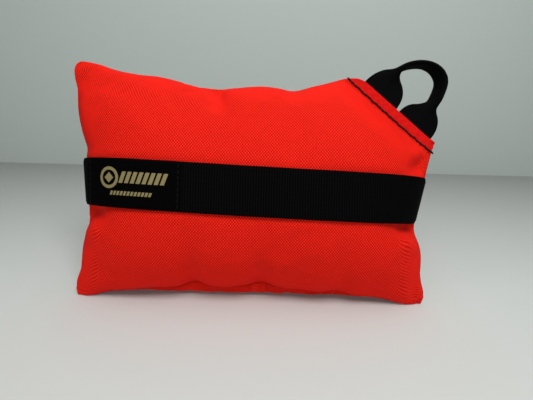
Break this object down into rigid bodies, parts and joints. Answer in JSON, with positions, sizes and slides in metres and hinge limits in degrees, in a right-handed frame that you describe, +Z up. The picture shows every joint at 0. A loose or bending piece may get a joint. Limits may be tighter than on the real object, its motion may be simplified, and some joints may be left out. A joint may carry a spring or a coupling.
{
  "type": "sandbag",
  "caption": "Small pillow-shaped fabric bag filled with sand, with an elastic hand strap across its face and a webbing loop at one cut-off corner; steadies or weighs down equipment.",
  "frame": {"origin": "middle of the flattened base, on the surface that the bag stands on", "axes": "+Z up; X along the bag's long side, +X towards the corner with the carry loop; -Y is the face with the hand strap"},
  "size_m": [0.2135, 0.0661, 0.134],
  "materials": {
    "shell_cloth": "coated plain-weave nylon, bright orange, slight sheen",
    "shell_thread": "orange sewing thread",
    "liner_film": "plain film",
    "sand": "dry sand",
    "elastic": "ribbed woven elastic, black",
    "label_cloth": "fine woven label, black with a khaki device",
    "webbing": "flat nylon webbing, black",
    "black_thread": "black sewing thread"
  },
  "bodies": {
    "bag": {"front_panel": "shell_cloth", "back_panel": "shell_cloth", "seam_thread": "shell_thread", "liner_front": "liner_film", "liner_back": "liner_film", "sand_fill": "sand", "strap_end_left": "elastic", "strap_end_right": "elastic", "strap_tack_left": "black_thread", "strap_tack_right": "black_thread", "carry_loop_tails": "webbing", "hem_stitches": "black_thread"},
    "strap": {"hand_strap": "elastic", "woven_label": "label_cloth", "label_stitches": "black_thread"},
    "loop": {"carry_loop": "webbing", "grip_stitches": "black_thread"}
  },
  "joints": [
    {"name": "strap_lift", "type": "slide", "parent": "bag", "child": "strap", "axis": [0, -0.9511, 0.309], "range_m": [0, 0.025], "stiffness_N_per_m": 250},
    {"name": "loop_flop", "type": "hinge", "parent": "bag", "child": "loop", "pos_m": [0.08324, 0.01494, 0.10446], "axis": [0.7638, -0.1995, -0.6139], "range_deg": [-90, 90], "stiffness_Nm_per_rad": 0.02}
  ]
}
